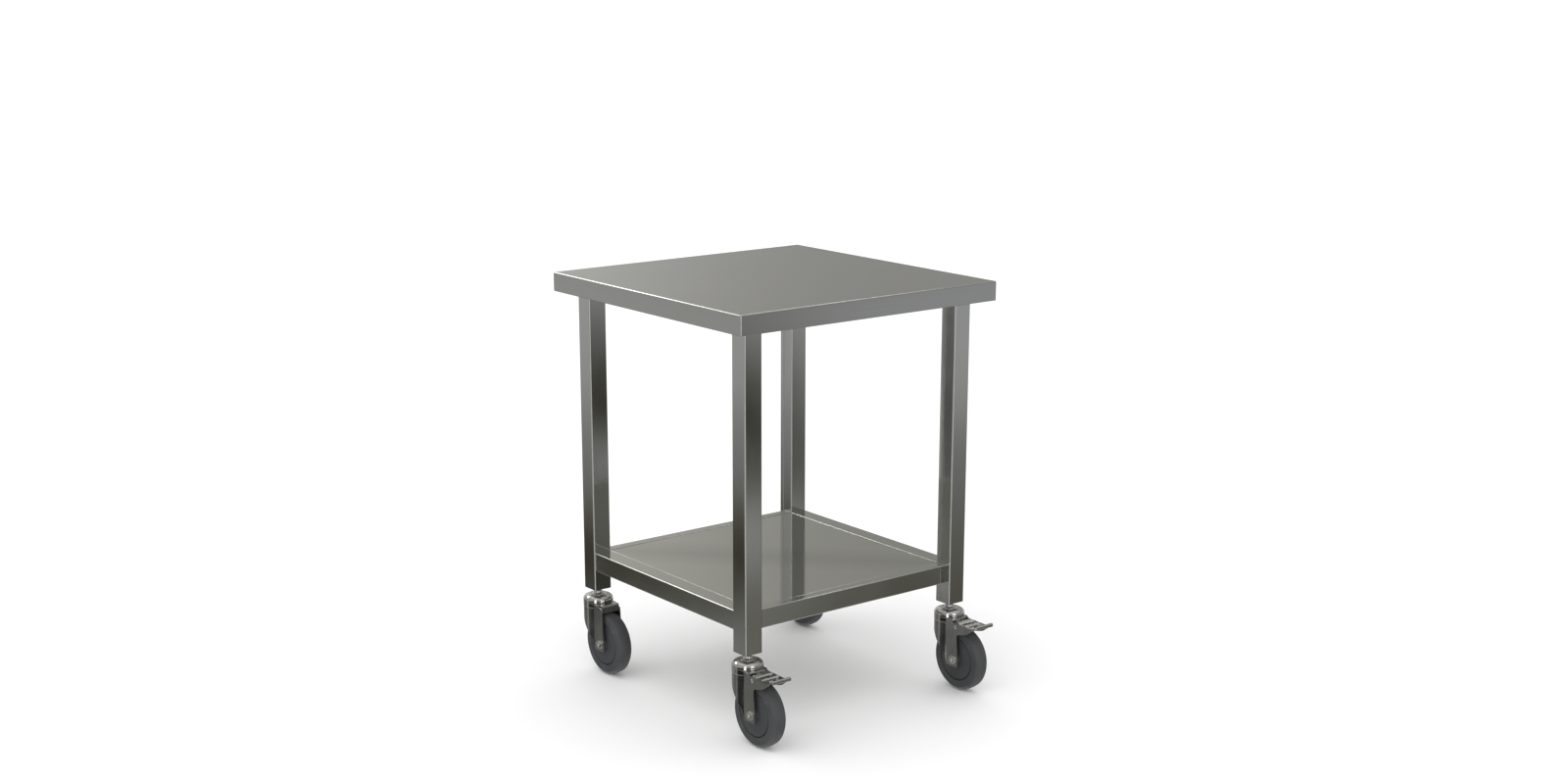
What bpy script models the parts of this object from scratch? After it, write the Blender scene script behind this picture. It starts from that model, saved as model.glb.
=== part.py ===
"""Stainless work table on four swivel castors: closed worktop, four square legs, framed undershelf, braked castors at the front."""
import math

import bmesh
import bpy
from mathutils import Matrix, Vector

MM = 0.001

# ---- driving dimensions, millimetres ----
TOP_W = 600.0            # worktop side, X
TOP_D = 600.0            # worktop side, Y
TOP_H = 800.0            # floor to work surface
TOP_EDGE = 37.0          # depth of the turned-down edge
SHEET = 1.5              # sheet thickness of the folded parts
FOLD_R = 2.6             # outside radius of the worktop fold
LEG = 38.0               # square leg section
LEG_R = 3.2              # leg corner radius
LEG_C = 247.0            # leg and castor centre from the table centre, both ways
LEG_BOTTOM = 168.6
SEAM_IN = 11.5           # folded seam of the leg, from its back corner
RAIL_TOP = 246.2
RAIL_H = 37.0
SIDE_RAIL_OUT = 263.6    # outer face of the side rails from the centre
END_RAIL_OUT = 252.6     # outer face of the front and back rails from the centre
SHELF_X = 228.0          # half size of the shelf panel opening
SHELF_Y = 232.0
SHELF_DROP = 0.8         # shelf surface below the rail tops
SHELF_DEEP = 5.5         # folded hem of the shelf panel
GAP = 0.3                # clearance between touching pieces
WHEEL_R = 62.5
WHEEL_W = 30.0
GROOVE_R = 42.6          # joint between hub and tyre
TRAIL = 37.0             # castor trail, toward the front
FORK_X = 22.4            # outer face of the fork legs
FORK_T = 2.5
FORK_R = 28.9            # outside radius of the swivel head
FORK_TOP = 142.2
DOME_LOW = 142.8
DOME_R = 29.3
CHEEK_TIP = 90.0         # rear end of the braked castor's cheeks, behind the swivel axis
PEDAL_TIP = 102.0        # end of the brake pedal, behind the swivel axis
PIN_Y, PIN_Z = -42.0, 130.4
TABLE_Y = (LEG_C + PEDAL_TIP - TOP_D / 2) / 2   # puts the whole object's box on the origin

for old in list(bpy.data.objects):
    bpy.data.objects.remove(old, do_unlink=True)


# ---- materials ----
def metal(name, colour, rough, metallic=1.0):
    mat = bpy.data.materials.new(name)
    mat.use_nodes = True
    shader = mat.node_tree.nodes["Principled BSDF"]
    shader.inputs["Base Color"].default_value = (*colour, 1.0)
    shader.inputs["Roughness"].default_value = rough
    shader.inputs["Metallic"].default_value = metallic
    mat.diffuse_color = (*colour, 1.0)
    mat.roughness = rough
    mat.metallic = metallic
    return mat


# ---- mesh helpers (millimetres in, metres out) ----
def to_object(name, bm, mat=None, smooth=False, origin=(0, 0, 0)):
    bmesh.ops.remove_doubles(bm, verts=bm.verts, dist=1e-4)
    bmesh.ops.recalc_face_normals(bm, faces=bm.faces)
    mesh = bpy.data.meshes.new(name)
    bmesh.ops.translate(bm, verts=bm.verts, vec=-Vector(origin))
    bmesh.ops.scale(bm, verts=bm.verts, vec=(MM, MM, MM))
    bm.to_mesh(mesh)
    bm.free()
    obj = bpy.data.objects.new(name, mesh)
    obj.location = Vector(origin) * MM
    bpy.context.scene.collection.objects.link(obj)
    if mat:
        mesh.materials.append(mat)
    if smooth:
        mesh.shade_smooth()
        mesh.set_sharp_from_angle(angle=math.radians(35))
    return obj


def prism(points, low, high, axis="Z"):
    """A polygon pushed along an axis. Points are (x, y) for Z, (y, z) for X."""
    bm = bmesh.new()
    place = {"Z": lambda a, b, c: (a, b, c), "X": lambda a, b, c: (c, a, b)}[axis]
    rings = [[bm.verts.new(place(a, b, level)) for a, b in points] for level in (low, high)]
    n = len(points)
    bm.faces.new(rings[0][::-1])
    bm.faces.new(rings[1])
    for i in range(n):
        j = (i + 1) % n
        bm.faces.new((rings[0][i], rings[0][j], rings[1][j], rings[1][i]))
    bmesh.ops.recalc_face_normals(bm, faces=bm.faces)
    return bm


def ring(outer, inner, low, high):
    """A tube of matching outer and inner outlines."""
    bm = bmesh.new()
    n = len(outer)
    rows = [[bm.verts.new((x, y, z)) for x, y in loop] for loop, z in ((outer, low), (outer, high), (inner, high), (inner, low))]
    for k in range(4):
        a, b = rows[k], rows[(k + 1) % 4]
        for i in range(n):
            j = (i + 1) % n
            bm.faces.new((a[i], a[j], b[j], b[i]))
    bmesh.ops.recalc_face_normals(bm, faces=bm.faces)
    return bm


def box(x0, x1, y0, y1, z0, z1):
    return prism([(x0, y0), (x1, y0), (x1, y1), (x0, y1)], z0, z1)


def rounded(x0, x1, y0, y1, r, steps=3):
    pts = []
    for cx, cy, start in ((x1 - r, y1 - r, 0), (x0 + r, y1 - r, 90), (x0 + r, y0 + r, 180), (x1 - r, y0 + r, 270)):
        for k in range(steps + 1):
            a = math.radians(start + 90 * k / steps)
            pts.append((cx + r * math.cos(a), cy + r * math.sin(a)))
    return pts


def lathe(profile, steps, axis="Z", phase=0.0):
    """A closed (radius, height) profile turned about Z, or about X with height along X."""
    bm = bmesh.new()
    rows = []
    for s in range(steps):
        a = phase + 2 * math.pi * s / steps
        c, d = math.cos(a), math.sin(a)
        row = []
        for r, h in profile:
            if r < 1e-6:
                row.append(None)
            else:
                row.append(bm.verts.new((r * c, r * d, h) if axis == "Z" else (h, r * c, r * d)))
        rows.append(row)
    poles = {k: bm.verts.new((0, 0, profile[k][1]) if axis == "Z" else (profile[k][1], 0, 0)) for k in range(len(profile)) if profile[k][0] < 1e-6}
    m = len(profile)
    for s in range(steps):
        a, b = rows[s], rows[(s + 1) % steps]
        for k in range(m):
            j = (k + 1) % m
            quad = [a[k] or poles.get(k), a[j] or poles.get(j), b[j] or poles.get(j), b[k] or poles.get(k)]
            unique = []
            for v in quad:
                if v not in unique:
                    unique.append(v)
            if len(unique) > 2:
                bm.faces.new(unique)
    bmesh.ops.recalc_face_normals(bm, faces=bm.faces)
    return bm


def move(bm, x=0.0, y=0.0, z=0.0):
    bmesh.ops.translate(bm, verts=bm.verts, vec=(x, y, z))
    return bm


def combine(bm, others):
    """Exact Booleans, one after another: others holds (operation, bmesh)."""
    base = to_object("work", bm)
    tools = []
    for k, (kind, tool) in enumerate(others):
        piece = to_object(f"work_tool_{k}", tool)
        tools.append(piece)
        mod = base.modifiers.new(f"m{k}", "BOOLEAN")
        mod.operation = kind
        mod.solver = "EXACT"
        mod.object = piece
    bpy.context.view_layer.update()
    graph = bpy.context.evaluated_depsgraph_get()
    result = base.evaluated_get(graph).to_mesh()
    out = bmesh.new()
    out.from_mesh(result)
    base.evaluated_get(graph).to_mesh_clear()
    for piece in tools + [base]:
        bpy.data.objects.remove(piece, do_unlink=True)
    bmesh.ops.scale(out, verts=out.verts, vec=(1 / MM, 1 / MM, 1 / MM))
    bmesh.ops.remove_doubles(out, verts=out.verts, dist=2e-4)
    bmesh.ops.dissolve_degenerate(out, edges=out.edges, dist=1e-4)
    return out


# ---- worktop: folded skin, core board, closing panel ----
T = TABLE_Y
hw, hd = TOP_W / 2, TOP_D / 2
top_low = TOP_H - TOP_EDGE


def worktop_skin():
    rings = []
    levels = [(top_low, 1.2), (top_low + 1.2, 0.0)]
    for k in range(4):
        a = math.radians(90 * k / 3)
        levels.append((TOP_H - FOLD_R + FOLD_R * math.sin(a), FOLD_R * (1 - math.cos(a))))
    bm = bmesh.new()
    for z, inset in levels:
        pts = rounded(-hw + inset, hw - inset, -hd + inset, hd - inset, 2.0 if inset < 2 else 1.2, 2)
        rings.append([bm.verts.new((x, y, z)) for x, y in pts])
    n = len(rings[0])
    for a, b in zip(rings, rings[1:]):
        for i in range(n):
            j = (i + 1) % n
            bm.faces.new((a[i], a[j], b[j], b[i]))
    bm.faces.new(rings[-1])
    bm.faces.new(rings[0][::-1])
    bmesh.ops.recalc_face_normals(bm, faces=bm.faces)
    pocket = box(-hw + SHEET, hw - SHEET, -hd + SHEET, hd - SHEET, top_low - 5, TOP_H - SHEET)
    return move(combine(bm, [("DIFFERENCE", pocket)]), y=T)


to_object("worktop_skin", worktop_skin(), metal("worktop_steel", (0.50, 0.51, 0.49), 0.30), True)
inset = SHEET + GAP
to_object("worktop_core_board", move(box(-hw + inset, hw - inset, -hd + inset, hd - inset, top_low + SHEET + 2 * GAP, TOP_H - SHEET - GAP), y=T), metal("core_board", (0.42, 0.30, 0.19), 0.75, 0.0))
to_object("worktop_underside_panel", move(box(-hw + inset, hw - inset, -hd + inset, hd - inset, top_low, top_low + SHEET), y=T), metal("underside_steel", (0.46, 0.47, 0.46), 0.34))


# ---- legs and their castor sockets ----
def leg(sx):
    h = LEG / 2
    outer = rounded(-h, h, -h, h, LEG_R, 3)
    inner = rounded(-h + SHEET, h - SHEET, -h + SHEET, h - SHEET, LEG_R - SHEET, 3)
    tube = ring(outer, inner, LEG_BOTTOM, top_low - GAP)
    y = h - SEAM_IN
    face = -sx * h
    a, b = sorted((face - sx * 1.0, face + sx * 0.8))
    groove = box(a, b, y - 0.7, y + 0.7, LEG_BOTTOM - 5, top_low + 5)
    return combine(tube, [("DIFFERENCE", groove)])


def leg_socket():
    h = LEG / 2 - SHEET - GAP
    outer = rounded(-h, h, -h, h, 1.4, 1)
    body = prism(outer, LEG_BOTTOM + 0.6, LEG_BOTTOM + 20.0)
    bore = lathe([(0, LEG_BOTTOM - 5), (6.4, LEG_BOTTOM - 5), (6.4, LEG_BOTTOM + 30), (0, LEG_BOTTOM + 30)], 16)
    return combine(body, [("DIFFERENCE", bore)])


CORNERS = {"front_left": (-1, -1), "front_right": (1, -1), "back_left": (-1, 1), "back_right": (1, 1)}
for name, (sx, sy) in CORNERS.items():
    x, y = sx * LEG_C, sy * LEG_C + T
    to_object(f"leg_{name}", move(leg(sx), x, y), metal(f"leg_steel_{name}", (0.44, 0.45, 0.43), 0.27), True)
    to_object(f"leg_socket_{name}", move(leg_socket(), x, y), metal(f"socket_zinc_{name}", (0.55, 0.55, 0.53), 0.45), False)


# ---- undershelf: four tube rails and a hemmed panel ----
def rail(x0, x1, y0, y1, along):
    """A rectangular tube with eased corners, its ends butting against the legs."""
    lo, hi, start, end = (y0, y1, x0, x1) if along == "X" else (x0, x1, y0, y1)
    outer = rounded(lo, hi, RAIL_TOP - RAIL_H, RAIL_TOP, 2.0, 2)
    inner = rounded(lo + SHEET, hi - SHEET, RAIL_TOP - RAIL_H + SHEET, RAIL_TOP - SHEET, 0.6, 2)
    bm = ring(outer, inner, start, end)
    # the ring stands along Z: turn it so that its length lies along X or Y and its outline's second axis is up
    turn = Matrix(((0, 0, 1, 0), (1, 0, 0, 0), (0, 1, 0, 0), (0, 0, 0, 1))) if along == "X" else Matrix(((1, 0, 0, 0), (0, 0, 1, 0), (0, 1, 0, 0), (0, 0, 0, 1)))
    bmesh.ops.transform(bm, matrix=turn, verts=bm.verts)
    bmesh.ops.recalc_face_normals(bm, faces=bm.faces)
    return bm


reach = LEG_C - LEG / 2 - GAP
for name, (x0, x1, y0, y1, along) in {
    "front": (-reach, reach, -END_RAIL_OUT, -SHELF_Y, "X"),
    "back": (-reach, reach, SHELF_Y, END_RAIL_OUT, "X"),
    "left": (-SIDE_RAIL_OUT, -SHELF_X, -reach, reach, "Y"),
    "right": (SHELF_X, SIDE_RAIL_OUT, -reach, reach, "Y"),
}.items():
    to_object(f"shelf_rail_{name}", move(rail(x0, x1, y0, y1, along), y=T), metal(f"rail_steel_{name}", (0.43, 0.44, 0.42), 0.28), True)


def shelf_panel():
    g = 0.9
    top = RAIL_TOP - SHELF_DROP
    bm = bmesh.new()
    rings = []
    for z, ins in ((top - SHELF_DEEP, 0.0), (top - 1.2, 0.0), (top - 0.35, 0.4), (top, 1.3)):
        x, y = SHELF_X - g - ins, SHELF_Y - g - ins
        rings.append([bm.verts.new(p) for p in ((-x, -y, z), (x, -y, z), (x, y, z), (-x, y, z))])
    for a, b in zip(rings, rings[1:]):
        for i in range(4):
            j = (i + 1) % 4
            bm.faces.new((a[i], a[j], b[j], b[i]))
    bm.faces.new(rings[-1])
    bm.faces.new(rings[0][::-1])
    bmesh.ops.recalc_face_normals(bm, faces=bm.faces)
    x, y = SHELF_X - g - SHEET, SHELF_Y - g - SHEET
    return move(combine(bm, [("DIFFERENCE", box(-x, x, -y, y, top - SHELF_DEEP - 5, top - SHEET))]), y=T)


to_object("shelf_panel", shelf_panel(), metal("shelf_steel", (0.47, 0.48, 0.46), 0.25), False)


# ---- castors ----
def hexagon(r, low, high, axis_y, axis_z):
    pts = [(axis_y + r * math.cos(math.radians(60 * k + 30)), axis_z + r * math.sin(math.radians(60 * k + 30))) for k in range(6)]
    return prism(pts, low, high, "X")


def stem():
    """Threaded stem into the leg, running on as the kingpin to its riveted head under the fork."""
    z = FORK_TOP - FORK_T - GAP
    return lathe([(0, z - 4.4), (8.6, z - 4.4), (10.4, z - 2.6), (10.4, z), (6.0, z), (6.0, 197.0), (4.8, 198.4), (0, 198.4)], 14)


def dome():
    low = DOME_LOW
    return lathe([(6.4, low + 1.4), (22.0, low + 1.4), (24.0, low), (27.6, low), (27.8, low + 2.6), (DOME_R, low + 4.6), (DOME_R - 0.5, low + 7.4),
                  (24.6, low + 13.4), (18.6, low + 17.0), (12.4, low + 17.6), (11.4, low + 19.0), (6.4, low + 19.0)], 20)


def fork(braked):
    inner = FORK_X - FORK_T
    inner_r = FORK_R - FORK_T
    start = math.degrees(math.asin(-math.sqrt(FORK_R ** 2 - FORK_X ** 2) / FORK_R))
    start_in = math.degrees(math.asin(-math.sqrt(inner_r ** 2 - inner ** 2) / inner_r))
    back = -(CHEEK_TIP if braked else 52.0)
    n = 14
    outer_arc = [(FORK_R * math.cos(math.radians(start + (180 - 2 * start) * k / n)), FORK_R * math.sin(math.radians(start + (180 - 2 * start) * k / n))) for k in range(n + 1)]
    inner_arc = [(inner_r * math.cos(math.radians(start_in + (180 - 2 * start_in) * k / n)), inner_r * math.sin(math.radians(start_in + (180 - 2 * start_in) * k / n))) for k in range(n + 1)]
    plan = [(FORK_X, back)] + outer_arc + [(-FORK_X, back), (-inner, back)] + inner_arc[::-1] + [(inner, back)]
    wall = prism(plan, 40.0, FORK_TOP)
    a = -TRAIL
    foot = WHEEL_R - 14.2
    corner = [(a + 18.6, foot + 3.0), (a + 15.6, foot), (a - 9.6, foot), (a - 13.4, foot + 3.8), (a - 13.2, foot + 10.0)]
    lead = [(34.0, FORK_TOP + 3), (34.0, 132.2), (-18.4, 67.6)]
    if braked:
        rear = [(a - 9.0, 113.6), (a - 11.0, 115.6), (-61.0, 118.4), (-72.0, 121.4), (-CHEEK_TIP - 1, 133.4), (-CHEEK_TIP - 1, 136.2), (-32.0, 137.4), (-26.0, FORK_TOP + 3)]
    else:
        rear = [(a - 8.0, 136.8), (-30.0, 137.4), (-26.0, FORK_TOP + 3)]
    side = prism(lead + corner + rear, -45.0, 45.0, "X")
    plate_pts = [(FORK_R * math.cos(math.radians(t)), FORK_R * math.sin(math.radians(t))) for t in [start + (180 - 2 * start) * k / n for k in range(n + 1)]]
    plate_back = -33.0 if braked else -44.0
    plate = prism(plate_pts + [(-FORK_X + 0.0, -22.0), (-FORK_X + 2.6, plate_back), (FORK_X - 2.6, plate_back), (FORK_X, -22.0)], FORK_TOP - FORK_T, FORK_TOP)
    steps = [("INTERSECT", side), ("UNION", plate)]
    if not braked:
        steps.append(("UNION", box(-FORK_X + 2.6, FORK_X - 2.6, plate_back, plate_back + FORK_T, 127.4, FORK_TOP - 0.4)))
    steps.append(("DIFFERENCE", lathe([(0, 100), (6.4, 100), (6.4, 160), (0, 160)], 14)))
    bolt_hole = move(lathe([(0, -40), (4.4, -40), (4.4, 40), (0, 40)], 12, "X"), y=-TRAIL, z=WHEEL_R)
    steps.append(("DIFFERENCE", bolt_hole))
    if braked:
        steps.append(("DIFFERENCE", move(lathe([(0, -40), (2.6, -40), (2.6, 40), (0, 40)], 10, "X"), y=PIN_Y, z=PIN_Z)))
    return combine(wall, steps)


def tyre():
    n = 28
    w = WHEEL_W / 2
    r = WHEEL_R / math.cos(math.pi / n)
    inner = GROOVE_R + GAP
    profile = [(inner, -w + 1.2), (inner + 1.0, -w), (r - 6.2, -w), (r - 2.2, -w + 1.8), (r, -w + 7.0),
               (r, w - 7.0), (r - 2.2, w - 1.8), (r - 6.2, w), (inner + 1.0, w), (inner, w - 1.2)]
    return lathe(profile, n, "X", math.pi / n)


def hub():
    w = WHEEL_W / 2 - 0.6
    b = FORK_X - FORK_T - 1.3
    r = GROOVE_R
    profile = [(6.5, -b), (9.0, -b), (10.0, -w), (r - 1.0, -w), (r, -w + 1.2), (r, w - 1.2), (r - 1.0, w), (10.0, w), (9.0, b), (6.5, b)]
    return lathe(profile, 24, "X", math.pi / 24)


def axle_bush():
    b = FORK_X - FORK_T - GAP
    return lathe([(4.35, -b), (6.2, -b), (6.2, b), (4.35, b)], 14, "X")


def axle_bolt():
    shaft = lathe([(0, -FORK_X - 6.6), (3.4, -FORK_X - 6.6), (4.0, -FORK_X - 5.8), (4.0, FORK_X + 2), (0, FORK_X + 2)], 12, "X")
    return combine(hexagon(7.4, FORK_X + GAP, FORK_X + 5.4, 0, 0), [("UNION", shaft)])


def axle_nut():
    hole = lathe([(0, -60), (4.35, -60), (4.35, 0), (0, 0)], 12, "X")
    return combine(hexagon(7.4, -FORK_X - 5.4, -FORK_X - GAP, 0, 0), [("DIFFERENCE", hole)])


def pedal():
    """Pressed plate between the cheeks, with ears on the pin, a shoe over the tyre and a wide upturned lip."""
    half = FORK_X - FORK_T - 0.7
    top = [(-35.6, 138.4), (-40.0, 141.2), (-58.0, 141.0), (-64.0, 138.4), (-86.6, 135.9), (-92.0, 140.2)]
    low = [(-92.0, 137.0), (-86.6, 133.2), (-64.4, 135.8), (-57.4, 138.4), (-41.2, 138.6), (-37.4, 136.6)]
    plate = prism(top + low, -half, half, "X")
    lip = prism([(-91.0, 139.3), (-94.4, 142.6), (-97.6, 144.9), (-100.8, 145.0), (-PEDAL_TIP, 143.6), (-PEDAL_TIP, 138.6), (-100.6, 137.6),
                 (-99.6, 138.8), (-99.6, 141.8), (-97.6, 142.3), (-95.4, 140.8), (-91.0, 136.2)], -20.6, 20.6, "X")
    ear = [(-36.4, 138.2), (-37.0, 128.6), (-39.2, 126.6), (-44.6, 126.6), (-50.0, 131.0), (-62.0, 137.4), (-58.0, 139.8), (-41.0, 139.8)]
    ear_l = prism(ear, -half, -half + 2.2, "X")
    ear_r = prism(ear, half - 2.2, half, "X")
    shoe = prism([(-52.0, 139.6), (-52.0, 127.4), (-58.0, 125.6), (-61.0, 125.6), (-61.0, 138.8)], -9.0, 9.0, "X")
    pin = move(lathe([(0, -40), (2.8, -40), (2.8, 40), (0, 40)], 10, "X"), y=PIN_Y, z=PIN_Z)
    slot_a = box(-13.0, 13.0, -50.4, -44.6, 134, 150)
    slot_b = box(-13.0, 13.0, -80.0, -69.0, 130, 150)
    return combine(plate, [("UNION", lip), ("UNION", ear_l), ("UNION", ear_r), ("UNION", shoe), ("DIFFERENCE", pin), ("DIFFERENCE", slot_a), ("DIFFERENCE", slot_b)])


def pedal_pin():
    x = FORK_X + 1.2
    return lathe([(0, -x), (3.0, -x), (3.9, -x + 0.9), (2.3, -x + 0.9), (2.3, x - 0.9), (3.9, x - 0.9), (3.0, x), (0, x)], 10, "X")


for name, (sx, sy) in CORNERS.items():
    braked = sy < 0
    x, y = sx * LEG_C, sy * LEG_C + T
    swivel = (x, y, FORK_TOP)
    axle = (x, y - TRAIL, WHEEL_R)
    key = f"castor_{name}"
    to_object(f"{key}_stem", move(stem(), x, y), metal(f"{key}_stem_zinc", (0.60, 0.60, 0.59), 0.35), True)
    to_object(f"{key}_dome", move(dome(), x, y), metal(f"{key}_dome_chrome", (0.70, 0.70, 0.69), 0.12), True)
    to_object(f"{key}_fork", move(fork(braked), x, y), metal(f"{key}_fork_plate", (0.40, 0.40, 0.39), 0.25), True, swivel)
    to_object(f"{key}_tyre", move(tyre(), *axle), metal(f"{key}_rubber", (0.045, 0.046, 0.048), 0.62, 0.0), True, axle)
    to_object(f"{key}_hub", move(hub(), *axle), metal(f"{key}_nylon", (0.05, 0.05, 0.052), 0.5, 0.0), True, axle)
    to_object(f"{key}_bush", move(axle_bush(), *axle), metal(f"{key}_bush_steel", (0.5, 0.5, 0.5), 0.4), True, axle)
    to_object(f"{key}_bolt", move(axle_bolt(), *axle), metal(f"{key}_bolt_zinc", (0.62, 0.62, 0.6), 0.3), False, axle)
    to_object(f"{key}_nut", move(axle_nut(), *axle), metal(f"{key}_nut_zinc", (0.62, 0.62, 0.6), 0.3), False, axle)
    if braked:
        hinge = (x, y + PIN_Y, PIN_Z)
        to_object(f"{key}_brake_pedal", move(pedal(), x, y), metal(f"{key}_pedal_zinc", (0.52, 0.51, 0.49), 0.3), False, hinge)
        to_object(f"{key}_brake_pin", move(pedal_pin(), *hinge), metal(f"{key}_pin_zinc", (0.6, 0.6, 0.58), 0.35), True, hinge)
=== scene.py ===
"""Looks of the stainless work table on castors: finely modelled steelwork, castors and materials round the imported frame."""

import math

import bmesh
import bpy
from mathutils import Matrix, Vector


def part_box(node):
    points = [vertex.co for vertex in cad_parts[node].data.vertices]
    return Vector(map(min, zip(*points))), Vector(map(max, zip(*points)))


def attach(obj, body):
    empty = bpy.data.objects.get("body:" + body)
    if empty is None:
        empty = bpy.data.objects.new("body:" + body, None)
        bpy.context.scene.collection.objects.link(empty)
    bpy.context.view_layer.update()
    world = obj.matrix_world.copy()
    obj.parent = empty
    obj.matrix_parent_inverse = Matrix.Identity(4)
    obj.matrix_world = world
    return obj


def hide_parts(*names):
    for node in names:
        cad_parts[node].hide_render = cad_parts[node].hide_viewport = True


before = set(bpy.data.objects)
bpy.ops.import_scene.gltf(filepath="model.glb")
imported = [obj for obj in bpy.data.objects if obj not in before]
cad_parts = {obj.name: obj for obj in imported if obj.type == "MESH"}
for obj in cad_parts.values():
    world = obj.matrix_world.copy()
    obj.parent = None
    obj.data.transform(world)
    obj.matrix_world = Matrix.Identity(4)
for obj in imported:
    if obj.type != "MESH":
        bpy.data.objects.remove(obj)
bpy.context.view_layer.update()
MM = 0.001

# ------------------------------------------------------------------ places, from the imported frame
top_lo, top_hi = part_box("worktop_skin")
T = (top_lo.y + top_hi.y) / 2 / MM          # table centre along Y, mm
HW = (top_hi.x - top_lo.x) / 2 / MM
HD = (top_hi.y - top_lo.y) / 2 / MM
TOP_H = top_hi.z / MM
TOP_LOW = top_lo.z / MM
CORNERS = ("front_left", "front_right", "back_left", "back_right")
leg_at, axle_at = {}, {}
for n in CORNERS:
    lo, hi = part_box(f"leg_{n}")
    leg_at[n] = ((lo.x + hi.x) / 2 / MM, (lo.y + hi.y) / 2 / MM, lo.z / MM, hi.z / MM)
    lo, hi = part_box(f"castor_{n}_tyre")
    axle_at[n] = ((lo.x + hi.x) / 2 / MM, (lo.y + hi.y) / 2 / MM, (lo.z + hi.z) / 2 / MM)
LEG = (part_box("leg_front_left")[1].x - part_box("leg_front_left")[0].x) / MM
rail_lo, rail_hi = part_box("shelf_rail_front")
RAIL_TOP, RAIL_LOW = rail_hi.z / MM, rail_lo.z / MM
SHEET = 1.5
FORK_X, FORK_T, FORK_R, FORK_TOP = 22.4, 2.5, 28.9, 142.2
WHEEL_R, WHEEL_W, TRAIL = 62.5, 30.0, 37.0
GROOVE_R = 42.6
PIN_Y, PIN_Z = -42.0, 130.4


# ------------------------------------------------------------------ outline helpers (millimetres)
def soften(points, steps=4, closed=True):
    """Rounds the corners of a polygon. A point is (a, b) or (a, b, radius)."""
    out = []
    count = len(points)
    for i, p in enumerate(points):
        r = p[2] if len(p) > 2 else 0.0
        if r <= 0 or (not closed and i in (0, count - 1)):
            out.append((p[0], p[1]))
            continue
        a, b, c = Vector(points[i - 1][:2]), Vector(p[:2]), Vector(points[(i + 1) % count][:2])
        u, v = a - b, c - b
        lu, lv = u.length, v.length
        u, v = u / lu, v / lv
        cosine = max(-1.0, min(1.0, u.dot(v)))
        angle = math.acos(cosine)
        if angle > math.radians(177) or angle < math.radians(3):
            out.append((p[0], p[1]))
            continue
        t = min(r / math.tan(angle / 2), lu * 0.48, lv * 0.48)
        rr = t * math.tan(angle / 2)
        centre = b + (u + v).normalized() * (rr / math.sin(angle / 2))
        s, e = b + u * t - centre, b + v * t - centre
        a0, a1 = math.atan2(s.y, s.x), math.atan2(e.y, e.x)
        turn = (a1 - a0 + math.pi) % (2 * math.pi) - math.pi
        for k in range(steps + 1):
            w = a0 + turn * k / steps
            out.append((centre.x + rr * math.cos(w), centre.y + rr * math.sin(w)))
    return out


def offset(points, d):
    """A closed counter-clockwise outline moved inward by d along its corners' normals."""
    out = []
    n = len(points)
    for i in range(n):
        a, b, c = Vector(points[i - 1]), Vector(points[i]), Vector(points[(i + 1) % n])
        u, v = (b - a), (c - b)
        if u.length < 1e-9 or v.length < 1e-9:
            out.append(points[i])
            continue
        nu, nv = Vector((-u.y, u.x)).normalized(), Vector((-v.y, v.x)).normalized()
        m = (nu + nv)
        m = m / max(0.3, m.length_squared / 2)
        out.append((b.x + m.x * d, b.y + m.y * d))
    return out


def rounded(x0, x1, y0, y1, r, steps=6):
    return soften([(x0, y0, r), (x1, y0, r), (x1, y1, r), (x0, y1, r)], steps)


# ------------------------------------------------------------------ solid helpers (millimetres)
def close_up(bm):
    bmesh.ops.remove_doubles(bm, verts=bm.verts, dist=1e-4)
    bmesh.ops.recalc_face_normals(bm, faces=bm.faces)
    return bm


def skin(rows, caps=True, loop=False):
    """Rows of matching points joined into one surface."""
    bm = bmesh.new()
    made = [[bm.verts.new(p) for p in row] for row in rows]
    n = len(rows[0])
    pairs = list(zip(made, made[1:]))
    if loop:
        pairs.append((made[-1], made[0]))
    for a, b in pairs:
        for i in range(n):
            j = (i + 1) % n
            bm.faces.new((a[i], a[j], b[j], b[i]))
    if caps and not loop:
        bm.faces.new(made[0][::-1])
        bm.faces.new(made[-1])
    return close_up(bm)


def prism(points, low, high, axis="Z", ease=0.0):
    """An outline pushed along an axis, its two end faces eased."""
    area = sum(points[i - 1][0] * points[i][1] - points[i][0] * points[i - 1][1] for i in range(len(points)))
    pts = list(points) if area > 0 else list(points)[::-1]
    place = {"Z": lambda a, b, c: (a, b, c), "X": lambda a, b, c: (c, a, b), "Y": lambda a, b, c: (a, c, b)}[axis]
    levels = [(low, 0.0), (high, 0.0)]
    if ease:
        q = ease * 0.3
        levels = [(low, ease), (low + q, q), (low + ease, 0.0), (high - ease, 0.0), (high - q, q), (high, ease)]
    rows = []
    for level, inward in levels:
        ring = offset(pts, inward) if inward else pts
        rows.append([place(a, b, level) for a, b in ring])
    return skin(rows)


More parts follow.
